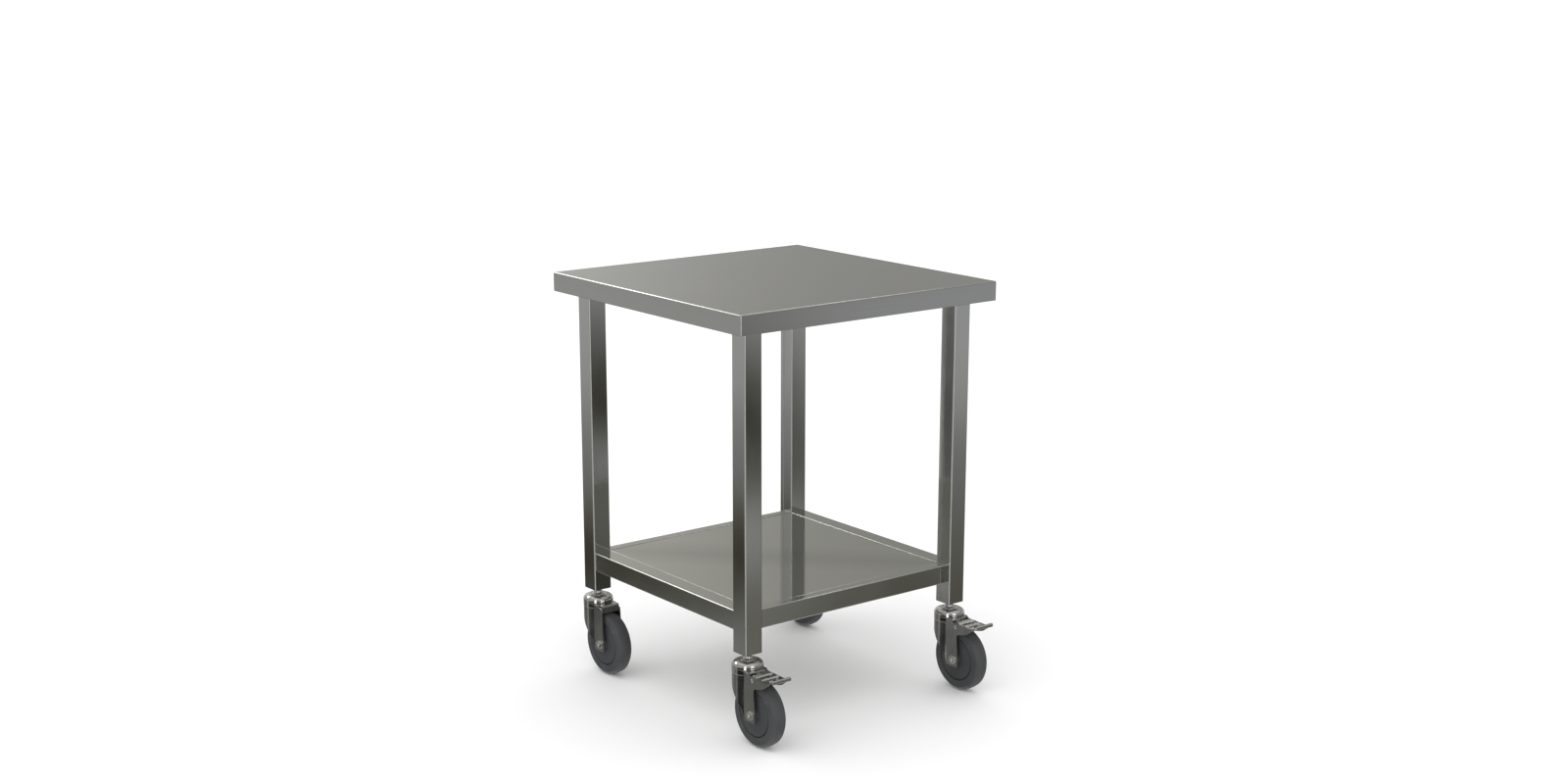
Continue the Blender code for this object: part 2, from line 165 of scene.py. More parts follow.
def lathe(profile, steps, axis="Z", phase=0.0, waves=None):
    """A closed (radius, height) profile turned about Z or X."""
    bm = bmesh.new()
    rows = []
    for s in range(steps):
        a = phase + 2 * math.pi * s / steps
        c, d = math.cos(a), math.sin(a)
        row = []
        for r, h in profile:
            if r < 1e-6:
                row.append(None)
                continue
            if waves:
                r = waves(r, h, a)
            row.append(bm.verts.new((r * c, r * d, h) if axis == "Z" else (h, r * c, r * d)))
        rows.append(row)
    poles = {k: bm.verts.new((0, 0, p[1]) if axis == "Z" else (p[1], 0, 0)) for k, p in enumerate(profile) if p[0] < 1e-6}
    m = len(profile)
    for s in range(steps):
        a, b = rows[s], rows[(s + 1) % steps]
        for k in range(m):
            j = (k + 1) % m
            quad = []
            for v in (a[k] or poles.get(k), a[j] or poles.get(j), b[j] or poles.get(j), b[k] or poles.get(k)):
                if v not in quad:
                    quad.append(v)
            if len(quad) > 2:
                bm.faces.new(quad)
    bmesh.ops.recalc_face_normals(bm, faces=bm.faces)
    return bm


def move(bm, x=0.0, y=0.0, z=0.0):
    bmesh.ops.translate(bm, verts=bm.verts, vec=(x, y, z))
    return bm


def join(*many):
    out = bmesh.new()
    for bm in many:
        mesh = bpy.data.meshes.new("part")
        bm.to_mesh(mesh)
        bm.free()
        out.from_mesh(mesh)
        bpy.data.meshes.remove(mesh)
    return out


def combine(bm, steps):
    """Exact Booleans, one after another."""
    def temp(b, name):
        mesh = bpy.data.meshes.new(name)
        b.to_mesh(mesh)
        b.free()
        o = bpy.data.objects.new(name, mesh)
        bpy.context.scene.collection.objects.link(o)
        return o
    base = temp(bm, "work")
    tools = []
    for k, (kind, tool) in enumerate(steps):
        piece = temp(tool, f"tool{k}")
        tools.append(piece)
        mod = base.modifiers.new(f"m{k}", "BOOLEAN")
        mod.operation, mod.solver, mod.object = kind, "EXACT", piece
    bpy.context.view_layer.update()
    graph = bpy.context.evaluated_depsgraph_get()
    held = base.evaluated_get(graph)
    out = bmesh.new()
    out.from_mesh(held.to_mesh())
    held.to_mesh_clear()
    for o in tools + [base]:
        mesh = o.data
        bpy.data.objects.remove(o, do_unlink=True)
        bpy.data.meshes.remove(mesh)
    bmesh.ops.remove_doubles(out, verts=out.verts, dist=2e-3)
    bmesh.ops.dissolve_degenerate(out, edges=out.edges, dist=1e-3)
    flat = [e for e in out.edges if len(e.link_faces) == 2 and e.calc_face_angle(1.0) < math.radians(0.05)]
    bmesh.ops.dissolve_edges(out, edges=flat, use_verts=False)
    bmesh.ops.recalc_face_normals(out, faces=out.faces)
    return out


def grain_uv(mesh, grain):
    """Box-mapped UVs in metres, their U across the grain, so that the shading's tangent follows the brushing."""
    uv = mesh.uv_layers.new(name="UVMap")
    axes = {"X": 0, "Y": 1, "Z": 2}
    g = axes[grain]
    for poly in mesh.polygons:
        normal = [abs(c) for c in poly.normal]
        main = normal.index(max(normal))
        along = g if main != g else (g + 1) % 3
        across = 3 - main - along
        for li in poly.loop_indices:
            co = mesh.vertices[mesh.loops[li].vertex_index].co
            uv.data[li].uv = (co[across], co[along])


def apply_modifiers(obj, name):
    bpy.context.view_layer.update()
    graph = bpy.context.evaluated_depsgraph_get()
    done = bpy.data.meshes.new_from_object(obj.evaluated_get(graph), preserve_all_data_layers=True, depsgraph=graph)
    obj.modifiers.clear()
    old = obj.data
    obj.data = done
    bpy.data.meshes.remove(old)
    done.name = name


def piece(name, bm, body, mat, slot, nodes, grain="Z", sharp=32, bevel=0.0, segments=2, smooth=True):
    """Millimetre bmesh to a finished object riding on its body."""
    mesh = bpy.data.meshes.new(name)
    bmesh.ops.scale(bm, verts=bm.verts, vec=(MM, MM, MM))
    bm.to_mesh(mesh)
    bm.free()
    obj = bpy.data.objects.new(name, mesh)
    bpy.context.scene.collection.objects.link(obj)
    mesh.materials.append(mat)
    if smooth:
        mesh.shade_smooth()
        mesh.set_sharp_from_angle(angle=math.radians(max(sharp, 30)))
    if bevel:
        mod = obj.modifiers.new("eased_edges", "BEVEL")
        mod.width = bevel * MM
        mod.segments = segments
        mod.limit_method = "ANGLE"
        mod.angle_limit = math.radians(sharp)
        mod.use_clamp_overlap = True
        apply_modifiers(obj, name)
        obj.data.shade_smooth()
        obj.data.set_sharp_from_angle(angle=math.radians(max(sharp, 30)))
    if smooth:
        mod = obj.modifiers.new("flat_faces_lead", "WEIGHTED_NORMAL")
        mod.mode = "FACE_AREA"
        mod.weight = 100
        mod.keep_sharp = True
        apply_modifiers(obj, name)
    mesh = obj.data
    grain_uv(mesh, grain)
    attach(obj, body)
    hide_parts(*nodes)
    return obj


# ------------------------------------------------------------------ materials
class Net:
    def __init__(self, name):
        self.mat = bpy.data.materials.new(name)
        self.mat.use_nodes = True
        self.tree = self.mat.node_tree
        self.shader = self.tree.nodes["Principled BSDF"]

    def add(self, kind, **values):
        node = self.tree.nodes.new(kind)
        for key, value in values.items():
            if hasattr(node, key):
                setattr(node, key, value)
            else:
                node.inputs[key.replace("_", " ")].default_value = value
        return node

    def link(self, a, b):
        self.tree.links.new(a, b)

    def noise(self, vector, scale, detail=3.0, rough=0.5):
        node = self.add("ShaderNodeTexNoise")
        node.inputs["Scale"].default_value = scale
        node.inputs["Detail"].default_value = detail
        node.inputs["Roughness"].default_value = rough
        self.link(vector, node.inputs["Vector"])
        return node.outputs["Fac"]

    def stretched(self, scale):
        coord = self.add("ShaderNodeTexCoord")
        mapping = self.add("ShaderNodeMapping")
        mapping.inputs["Scale"].default_value = scale
        self.link(coord.outputs["Object"], mapping.inputs["Vector"])
        return mapping.outputs["Vector"]

    def remap(self, value, low, high, out_low, out_high):
        node = self.add("ShaderNodeMapRange")
        node.clamp = True
        for key, number in (("From Min", low), ("From Max", high), ("To Min", out_low), ("To Max", out_high)):
            node.inputs[key].default_value = number
        self.link(value, node.inputs["Value"])
        return node.outputs["Result"]

    def math(self, operation, a, b):
        node = self.add("ShaderNodeMath")
        node.operation = operation
        for k, v in enumerate((a, b)):
            if isinstance(v, (int, float)):
                node.inputs[k].default_value = v
            else:
                self.link(v, node.inputs[k])
        return node.outputs[0]

    def blend(self, factor, a, b):
        node = self.add("ShaderNodeMix")
        node.data_type = "RGBA"
        self.link(factor, node.inputs[0])
        for k, v in ((6, a), (7, b)):
            if isinstance(v, tuple):
                node.inputs[k].default_value = (*v, 1.0)
            else:
                self.link(v, node.inputs[k])
        return node.outputs[2]

    def bump(self, height, strength, distance, normal=None):
        node = self.add("ShaderNodeBump")
        node.inputs["Strength"].default_value = strength
        node.inputs["Distance"].default_value = distance
        self.link(height, node.inputs["Height"])
        if normal is not None:
            self.link(normal, node.inputs["Normal"])
        return node.outputs["Normal"]


def brushed(name, grain, light, dark, rough, spread=0.05, aniso=0.45, scratches=0.0, smudge=0.03):
    """Brushed stainless sheet: long fine grain, slow clouding of the polish, convex edges lighter and glossier, partly
    cleaner rubbed metal and partly a painted edge highlight.
    """
    n = Net(name)
    fine = {"X": (6.0, 900.0, 900.0), "Y": (900.0, 6.0, 900.0), "Z": (900.0, 900.0, 6.0)}[grain]
    broad = {"X": (2.2, 70.0, 70.0), "Y": (70.0, 2.2, 70.0), "Z": (70.0, 70.0, 2.2)}[grain]
    lines = n.noise(n.stretched(fine), 3.0, 4.0, 0.6)
    bands = n.noise(n.stretched(broad), 2.0, 3.0, 0.55)
    plain = n.stretched((1.0, 1.0, 1.0))
    cloud = n.noise(plain, 7.0, 2.0, 0.5)
    geometry = n.add("ShaderNodeNewGeometry")
    # convex-edge mask from Pointiness: drives partly edge wear and partly a painted edge highlight
    edge = n.remap(geometry.outputs["Pointiness"], 0.515, 0.60, 0.0, 1.0)
    tone = n.math("ADD", n.math("MULTIPLY", lines, 0.45), n.math("MULTIPLY", bands, 0.55))
    tone = n.remap(tone, 0.34, 0.66, 0.0, 1.0)
    colour = n.blend(tone, dark, light)
    tint = n.blend(n.remap(cloud, 0.35, 0.65, 0.0, 1.0), tuple(c * f for c, f in zip(light, (0.985, 0.985, 1.0))), tuple(c * f for c, f in zip(light, (1.0, 0.995, 0.96))))
    mixed = n.add("ShaderNodeMix")
    mixed.data_type = "RGBA"
    mixed.blend_type = "MIX"
    mixed.inputs[0].default_value = 0.45
    n.link(colour, mixed.inputs[6])
    n.link(tint, mixed.inputs[7])
    # painted edge highlight mixed with edge wear: base colour lifted by 16% along convex edges
    edge_mark = n.blend(edge, mixed.outputs[2], tuple(min(1.0, c * 1.16) for c in light))
    n.link(edge_mark, n.shader.inputs["Base Color"])
    r = n.remap(lines, 0.3, 0.7, rough - spread, rough + spread)
    r = n.math("ADD", r, n.remap(cloud, 0.3, 0.7, -smudge, smudge))
    r = n.math("SUBTRACT", r, n.math("MULTIPLY", edge, 0.05))
    height = lines
    if scratches:
        cells = n.add("ShaderNodeTexVoronoi")
        cells.feature = "DISTANCE_TO_EDGE"
        cells.inputs["Scale"].default_value = 9.0
        warped = n.stretched((1.0, 1.4, 1.0))
        n.link(warped, cells.inputs["Vector"])
        hair = n.remap(cells.outputs["Distance"], 0.0, 0.0025, 1.0, 0.0)
        gate = n.remap(n.noise(plain, 23.0, 2.0), 0.55, 0.62, 0.0, 1.0)
        hair = n.math("MULTIPLY", hair, gate)
        r = n.math("ADD", r, n.math("MULTIPLY", hair, scratches))
    n.link(r, n.shader.inputs["Roughness"])
    n.link(n.bump(height, 0.10, 0.00002), n.shader.inputs["Normal"])
    n.shader.inputs["Metallic"].default_value = 1.0
    if aniso:
        n.shader.inputs["Anisotropic"].default_value = aniso
        tangent = n.add("ShaderNodeTangent")
        tangent.direction_type = "UV_MAP"
        tangent.uv_map = "UVMap"
        n.link(tangent.outputs[0], n.shader.inputs["Tangent"])
    return n.mat


def plated(name, light, dark, rough, spread=0.04, scale=60.0, bump=0.08, edge_wear_and_sheen=0.3):
    """Plated pressing or turned part: soft mottling, faint orange peel, convex edges painted brighter, partly rubbed
    plating and partly a painted edge highlight.
    """
    n = Net(name)
    plain = n.stretched((1.0, 1.0, 1.0))
    mottle = n.noise(plain, scale, 4.0, 0.55)
    peel = n.noise(plain, scale * 14, 2.0, 0.5)
    cloud = n.noise(plain, scale * 0.35, 2.0, 0.5)
    geometry = n.add("ShaderNodeNewGeometry")
    # convex-edge mask from Pointiness: base colour lifted by 20% there, partly edge wear and partly a painted edge
    # highlight
    edge = n.remap(geometry.outputs["Pointiness"], 0.52, 0.62, 0.0, edge_wear_and_sheen)
    colour = n.blend(n.remap(mottle, 0.3, 0.7, 0.0, 1.0), dark, light)
    colour = n.blend(edge, colour, tuple(min(1.0, c * 1.2) for c in light))
    n.link(colour, n.shader.inputs["Base Color"])
    r = n.remap(cloud, 0.3, 0.7, rough - spread, rough + spread)
    r = n.math("ADD", r, n.remap(peel, 0.3, 0.7, -0.015, 0.015))
    n.link(r, n.shader.inputs["Roughness"])
    n.link(n.bump(peel, bump, 0.00004), n.shader.inputs["Normal"])
    n.shader.inputs["Metallic"].default_value = 1.0
    return n.mat


def moulded(name, light, dark, rough, scale, bump, dust=0.0, coat=0.0):
    """Moulded rubber or nylon: fine grain, slow tone changes and a little dust where it rubs the floor."""
    n = Net(name)
    plain = n.stretched((1.0, 1.0, 1.0))
    grain = n.noise(plain, scale, 3.0, 0.6)
    cloud = n.noise(plain, scale * 0.03, 3.0, 0.5)
    speck = n.noise(plain, scale * 0.35, 2.0, 0.5)
    colour = n.blend(n.remap(cloud, 0.3, 0.7, 0.0, 1.0), dark, light)
    if dust:
        geometry = n.add("ShaderNodeNewGeometry")
        edge_mark = n.remap(geometry.outputs["Pointiness"], 0.5, 0.56, 0.0, dust)
        edge_mark = n.math("MULTIPLY", edge_mark, n.remap(speck, 0.35, 0.65, 0.4, 1.0))
        colour = n.blend(edge_mark, colour, tuple(c * 2.1 for c in light))
    n.link(colour, n.shader.inputs["Base Color"])
    r = n.remap(speck, 0.3, 0.7, rough - 0.06, rough + 0.06)
    n.link(r, n.shader.inputs["Roughness"])
    n.link(n.bump(grain, bump, 0.00012), n.shader.inputs["Normal"])
    n.shader.inputs["Metallic"].default_value = 0.0
    n.shader.inputs["Specular IOR Level"].default_value = 0.42
    if coat:
        n.shader.inputs["Coat Weight"].default_value = coat
        n.shader.inputs["Coat Roughness"].default_value = 0.35
    return n.mat


STEEL_L, STEEL_D = (0.575, 0.578, 0.555), (0.525, 0.528, 0.505)
top_steel = brushed("worktop_brushed_steel", "X", STEEL_L, STEEL_D, 0.13, 0.03, 0.3, scratches=0.12, smudge=0.02)
edge_steel = top_steel
leg_steel = brushed("leg_brushed_steel", "Z", STEEL_L, STEEL_D, 0.105, 0.028, 0.55)
rail_x_steel = brushed("rail_brushed_steel_x", "X", STEEL_L, STEEL_D, 0.12, 0.03, 0.5)
rail_y_steel = brushed("rail_brushed_steel_y", "Y", STEEL_L, STEEL_D, 0.12, 0.03, 0.5)
shelf_steel = brushed("shelf_brushed_steel", "X", STEEL_L, STEEL_D, 0.115, 0.025, 0.3, scratches=0.12, smudge=0.015)
under_steel = brushed("underside_mill_steel", "Y", (0.60, 0.605, 0.59), (0.54, 0.545, 0.53), 0.42, 0.06, 0.0)
socket_zinc = plated("leg_socket_zinc", (0.55, 0.55, 0.53), (0.42, 0.42, 0.41), 0.42, 0.08, 90.0, 0.2)
chrome = plated("dome_chrome_plate", (0.70, 0.69, 0.66), (0.62, 0.61, 0.585), 0.075, 0.02, 50.0, 0.03, 0.2)
fork_mat = plated("fork_bright_zinc", (0.50, 0.50, 0.488), (0.42, 0.42, 0.41), 0.13, 0.035, 55.0, 0.05, 0.5)
pedal_mat = plated("pedal_bright_zinc", (0.74, 0.73, 0.70), (0.62, 0.61, 0.585), 0.20, 0.04, 70.0, 0.06, 0.5)
bolt_mat = plated("fastener_zinc", (0.74, 0.735, 0.71), (0.60, 0.60, 0.585), 0.24, 0.05, 120.0, 0.10, 0.5)
bush_mat = plated("bush_turned_steel", (0.52, 0.52, 0.51), (0.40, 0.40, 0.39), 0.36, 0.06, 120.0, 0.1)
tyre_mat = moulded("tyre_grey_rubber", (0.054, 0.055, 0.057), (0.042, 0.043, 0.045), 0.52, 900.0, 0.18, 0.25)
hub_mat = moulded("hub_moulded_nylon", (0.050, 0.052, 0.056), (0.040, 0.042, 0.044), 0.46, 700.0, 0.12, 0.12)
insert_mat = moulded("locknut_insert_nylon", (0.30, 0.33, 0.40), (0.24, 0.27, 0.33), 0.5, 800.0, 0.1)
board_mat = moulded("core_board_wood", (0.36, 0.25, 0.15), (0.26, 0.175, 0.10), 0.75, 320.0, 0.35)


# ------------------------------------------------------------------ worktop
def worktop():
    r = 2.6
    levels = [(TOP_LOW, 0.9), (TOP_LOW + 0.25, 0.3), (TOP_LOW + 0.9, 0.0)]
    for k in range(9):
        a = math.radians(90 * k / 8)
        levels.append((TOP_H - r + r * math.sin(a), r * (1 - math.cos(a))))
    rows = []
    for z, ins in levels:
        rows.append([(x, y, z) for x, y in rounded(-HW + ins, HW - ins, -HD + ins, HD - ins, max(0.5, 2.2 - ins * 0.6), 6)])
    inner = rounded(-HW + SHEET, HW - SHEET, -HD + SHEET, HD - SHEET, 0.8, 6)
    rows = [[(x, y, TOP_H - SHEET) for x, y in inner], [(x, y, TOP_LOW) for x, y in inner]] + rows
    return move(skin(rows), y=T)


piece("worktop_folded_sheet", worktop(), "table", top_steel, "worktop_steel", ["worktop_skin"], "X", 40)


# ------------------------------------------------------------------ legs
def leg_section(sx):
    """Square tube outline, counter-clockwise, with the folded seam's groove in its inner X face."""
    h, r = LEG / 2, 1.9
    pts = [(-h, -h, r), (h, -h, r), (h, h, r), (-h, h, r)]
    y = h - 11.5
    side = -sx
    g = [(side * h, y - 0.75, 0.3), (side * (h - 0.8), y - 0.45, 0.15), (side * (h - 0.8), y + 0.45, 0.15), (side * h, y + 0.75, 0.3)]
    if side > 0:
        pts = pts[:2] + g + pts[2:]
    else:
        pts = pts + g[::-1]
    return soften(pts, 6)


def leg(n):
    x, y, z0, z1 = leg_at[n]
    sx = -1 if x < 0 else 1
    outer = leg_section(sx)
    inner = []
    h = LEG / 2 - SHEET
    for a, b in offset(outer, 1.2):
        inner.append((max(-h, min(h, a)), max(-h, min(h, b))))
    rows = []
    for z, ring in ((z0 + 0.5, outer), (z1, outer), (z1, inner), (z0 + 0.2, inner)):
        rows.append([(a, b, z) for a, b in ring])
    rows.append([(a, b, z0) for a, b in offset(outer, 0.9)])
    rows.append([(a, b, z0) for a, b in offset(outer, 0.5)])
    rows.append([(a, b, z0 + 0.12) for a, b in offset(outer, 0.15)])
    return move(skin(rows, caps=False, loop=True), x, y)


for n in CORNERS:
    piece(f"leg_tube_{n}", leg(n), "table", leg_steel, "leg_steel", [f"leg_{n}"], "Z", 40)


# ------------------------------------------------------------------ undershelf
def rail(name, along):
    lo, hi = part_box(name)
    a0, a1 = (lo.y / MM, hi.y / MM) if along == "X" else (lo.x / MM, hi.x / MM)
    s0, s1 = (lo.x / MM, hi.x / MM) if along == "X" else (lo.y / MM, hi.y / MM)
    # the corner beside the shelf panel is folded tighter than the outer one
    first, second = (1.9, 0.8) if name in ("shelf_rail_front", "shelf_rail_left") else (0.8, 1.9)
    outer = soften([(a0, lo.z / MM, 1.9), (a1, lo.z / MM, 1.9), (a1, hi.z / MM, second), (a0, hi.z / MM, first)], 6)
    inner = rounded(a0 + SHEET, a1 - SHEET, lo.z / MM + SHEET, hi.z / MM - SHEET, 0.6, 6)
    place = (lambda a, b, s: (s, a, b)) if along == "X" else (lambda a, b, s: (a, s, b))
    rows = []
    for s, ring in ((s0, offset(outer, 0.25)), (s0 + 0.25, outer), (s1 - 0.25, outer), (s1, offset(outer, 0.25)), (s1, inner), (s0, inner)):
        rows.append([place(a, b, s) for a, b in ring])
    return skin(rows, caps=False, loop=True)


for side, along in (("front", "X"), ("back", "X"), ("left", "Y"), ("right", "Y")):
    piece(f"rail_tube_{side}", rail(f"shelf_rail_{side}", along), "table", rail_x_steel if along == "X" else rail_y_steel, "rail_steel", [f"shelf_rail_{side}"], along, 40)


def shelf():
    lo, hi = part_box("shelf_panel")
    x, y, top, low = hi.x / MM, (hi.y - lo.y) / 2 / MM, hi.z / MM, lo.z / MM
    levels = [(low, 0.5), (low + 0.4, 0.0)]
    r = 1.3
    for k in range(7):
        a = math.radians(90 * k / 6)
        levels.append((top - r + r * math.sin(a), r * (1 - math.cos(a))))
    rows = [[(a, b, z) for a, b in rounded(-x + i, x - i, -y + i, y - i, max(0.4, 1.4 - i * 0.6), 5)] for z, i in levels]
    inner = rounded(-x + SHEET, x - SHEET, -y + SHEET, y - SHEET, 0.6, 5)
    rows = [[(a, b, top - SHEET) for a, b in inner], [(a, b, low) for a, b in inner]] + rows
    return move(skin(rows), y=T)


piece("shelf_hemmed_sheet", shelf(), "table", shelf_steel, "shelf_steel", ["shelf_panel"], "X", 40)


# ------------------------------------------------------------------ castors
def stem():
    """Threaded stem, kingpin and riveted head in one turned piece."""
    z = FORK_TOP - FORK_T - 0.3
    profile = [(0.0, z - 4.4)]
    profile += soften([(2.0, z - 4.4), (7.4, z - 4.4, 1.5), (10.4, z - 2.2, 1.6), (10.4, z, 0.4), (6.0, z, 0.2), (6.0, z + 6)], 4, closed=False)
    profile += [(5.3, 158.0), (5.3, 161.9)]
    h = 161.9
    while h < 197.4:
        h += 0.25
        profile.append((5.99, h))
    profile += [(4.8, 198.4), (0.0, 198.4)]

    def thread(r, h, a):
        if r != 5.99:
            return r
        p = (h / 1.75 + a / (2 * math.pi)) % 1.0
        return 5.99 - 0.62 * min(1.0, max(0.0, abs(2 * p - 1) * 1.35 - 0.12))
    return lathe(profile, 40, waves=thread)


def dome():
    """Pressed bearing cover: upright band, round shoulder, slightly coned crown and the neck of the stem's seat."""
    low = 142.8
    profile = soften([(6.4, low + 1.2), (24.0, low + 1.2), (25.4, low + 0.1, 0.5), (29.1, low + 0.1, 0.25)], 5, closed=False)
    for k in range(6):
        t = k / 5
        profile.append((29.28, low + 0.5 + 3.9 * t))
    for k in range(1, 19):
        a = math.radians(76 * k / 18)
        profile.append((29.28 - 14.6 * (1 - math.cos(a)), low + 4.4 + 9.0 * math.sin(a)))
    profile += soften([(16.6, low + 13.5), (15.4, low + 13.6, 0.5), (14.9, low + 13.0, 0.3), (13.6, low + 13.0, 0.3), (12.9, low + 13.9, 0.6), (9.2, low + 14.5, 2.0), (7.6, low + 16.9, 2.2), (7.3, low + 19.0), (6.4, low + 19.0)], 6, closed=False)
    return lathe(profile, 120)


def race_band():
    """Bright crimped band round the fork's nose, in line with the cover above it."""
    section = soften([(28.5, 133.3), (28.95, 133.0, 0.15), (29.27, 133.6, 0.4), (29.27, 142.7, 0.15), (28.9, 142.82, 0.1), (27.2, 142.82)], 5)
    start = math.degrees(math.asin(-math.sqrt(FORK_R * FORK_R - FORK_X * FORK_X) / FORK_R)) + 3.0
    rows = []
    steps = 72
    for k in range(steps + 1):
        a = math.radians(start + (180 - 2 * start) * k / steps)
        rows.append([(r * math.cos(a), r * math.sin(a), h) for r, h in section])
    return skin(rows)


def plan(inset, back, n=40):
    """Fork seen from above: two parallel cheeks running into a half-round nose."""
    r, x = FORK_R - inset, FORK_X - inset
    start = math.degrees(math.asin(-math.sqrt(max(0.0, r * r - x * x)) / r))
    arc = [(r * math.cos(math.radians(start + (180 - 2 * start) * k / n)), r * math.sin(math.radians(start + (180 - 2 * start) * k / n))) for k in range(n + 1)]
    return [(x, back)] + arc + [(-x, back)]


def fork(braked):
    """Pressed fork: curved nose, bent crown, tapered legs; braked forks carry long cheeks for the pedal."""
    back = -90.0 if braked else -60.0
    bend = 1.6
    rows = [[(x, y, 40.0) for x, y in plan(0, back)]]
    for k in range(7):
        a = math.radians(90 * k / 6)
        rows.append([(x, y, FORK_TOP - bend + bend * math.sin(a)) for x, y in plan(bend * (1 - math.cos(a)), back)])
    shell = skin(rows)
    rows = [[(x, y, 30.0) for x, y in plan(FORK_T, back - 5)]]
    inner_bend = 1.2
    for k in range(5):
        a = math.radians(90 * k / 4)
        rows.append([(x, y, FORK_TOP - FORK_T - inner_bend + inner_bend * math.sin(a)) for x, y in plan(FORK_T + inner_bend * (1 - math.cos(a)), back - 5)])
    hollow = skin(rows)
    a = -TRAIL
    foot = WHEEL_R - 14.2
    corner = [(a + 18.6, foot + 1.6, 3.5), (a + 14.0, foot, 3.5), (a - 10.6, foot, 5.0), (a - 13.4, foot + 3.4, 5.0), (a - 13.2, foot + 10.0, 4.0)]
    lead = [(34.0, FORK_TOP + 6), (34.0, 132.2, 3.0), (-15.6, 70.4, 9.0)]
    if braked:
        rear = [(a - 9.0, 111.6, 4.0), (a - 12.0, 116.0, 4.5), (-61.0, 118.4, 6.0), (-74.0, 122.2, 8.0), (-89.7, 133.2, 1.6), (-89.7, 136.2, 1.2), (-34.0, 137.4, 5.0), (-29.0, 139.6, 1.0), (-28.0, FORK_TOP + 6)]
    else:
        rear = [(a - 8.0, 134.0, 4.0), (-33.0, 137.2, 3.0), (-28.0, 139.6, 1.0), (-27.0, FORK_TOP + 6)]
    side = prism(soften(lead + corner + rear, 6), -45.0, 45.0, "X")
    back_at = -33.0 if braked else -44.0
    w = FORK_X - 2.6
    if braked:
        tongue = prism(soften([(-w, -18.0), (w, -18.0), (w, back_at, 3.0), (-w, back_at, 3.0)], 5), FORK_TOP - FORK_T, FORK_TOP - 0.02)
    else:
        t = FORK_T
        tongue = prism(soften([(-18.0, FORK_TOP - 0.02), (back_at, FORK_TOP - 0.02, 3.4), (back_at, 127.4, 0.0), (back_at + t, 127.4, 0.0), (back_at + t, FORK_TOP - t, 1.0), (-18.0, FORK_TOP - t)], 6), -w, w, "X")
    steps = [("DIFFERENCE", hollow), ("INTERSECT", side), ("UNION", tongue)]
    steps.append(("DIFFERENCE", lathe([(0, 100), (6.4, 100), (6.4, 160), (0, 160)], 32)))
    steps.append(("DIFFERENCE", move(lathe([(0, -40), (4.4, -40), (4.4, 40), (0, 40)], 28, "X"), y=-TRAIL, z=WHEEL_R)))
    if braked:
        steps.append(("DIFFERENCE", move(lathe([(0, -40), (2.6, -40), (2.6, 40), (0, 40)], 20, "X"), y=PIN_Y, z=PIN_Z)))
    return combine(shell, steps)


def tyre():
    w, r, i = WHEEL_W / 2, WHEEL_R, GROOVE_R + 0.3
    half = [(i, w - 3.4), (i + 0.25, w - 1.2, 0.6), (i + 1.3, w, 0.8), (i + 8.4, w + 0.0, 1.0), (r - 5.2, w - 0.5, 3.4), (r - 1.5, w - 4.3, 3.6), (r, w - 12.0, 14.0)]
    other = [(p[0], -p[1], *p[2:]) for p in half]
    return lathe(soften(half + other[::-1], 6), 144, "X", math.pi / 144)


def hub():
    """Moulded hub: raised bearing boss, shallow dished web and a rim that stops short of the tyre."""
    w, b, r = WHEEL_W / 2 - 0.6, FORK_X - FORK_T - 1.3, GROOVE_R
    half = [(6.5, b, 0.0), (8.6, b, 0.5), (9.4, b - 1.8, 0.8), (11.4, w - 0.2, 1.2), (15.0, w - 0.6, 1.0), (38.6, w - 0.6, 0.8), (39.6, w, 0.6), (40.7, w, 0.7), (41.5, w - 1.2, 0.5), (41.7, w - 3.2, 0.4), (r, w - 3.6, 0.0)]
    other = [(p[0], -p[1], *p[2:]) for p in half]
    return lathe(soften(half + other[::-1], 5), 120, "X", math.pi / 120)


def bush():
    b = FORK_X - FORK_T - 0.3
    return lathe(soften([(4.35, -b), (6.2, -b, 0.4), (6.2, b, 0.4), (4.35, b)], 3), 32, "X")


def hexagon(r):
    return [(r * math.cos(math.radians(60 * k + 30)), r * math.sin(math.radians(60 * k + 30))) for k in range(6)]


def bolt():
    """Hexagon bolt with a chamfered head on a washer, its threaded end proud of the nut."""
    x = FORK_X + 0.3
    cap = lathe([(0, x + 1.3), (9.0, x + 1.3), (9.0, x + 3.9), (7.9, x + 4.8), (6.5, x + 5.4), (0, x + 5.4)], 48, "X")
    head = combine(prism(soften([(*p, 0.5) for p in hexagon(7.4)], 2), x + 1.2, x + 5.8, "X"), [("INTERSECT", cap)])
    washer = lathe(soften([(4.1, x + 0.02, 0.0), (8.7, x + 0.02, 0.3), (8.7, x + 1.3, 0.3), (4.1, x + 1.3, 0.0)], 3), 48, "X")
    end = -FORK_X - 6.6
    profile = [(0.0, end), (3.1, end), (3.6, end + 0.5)]
    h = end + 0.5
    while h < -FORK_X - 0.6:
        h += 0.2
        profile.append((3.97, h))
    profile += [(4.0, -FORK_X), (4.0, x + 2.5), (0.0, x + 2.5)]

    def thread(r, h, a):
        if r != 3.97:
            return r
        p = (h / 1.25 + a / (2 * math.pi)) % 1.0
        return 3.97 - 0.45 * min(1.0, max(0.0, abs(2 * p - 1) * 1.35 - 0.12))
    return join(head, washer, lathe(profile, 32, "X", waves=thread))


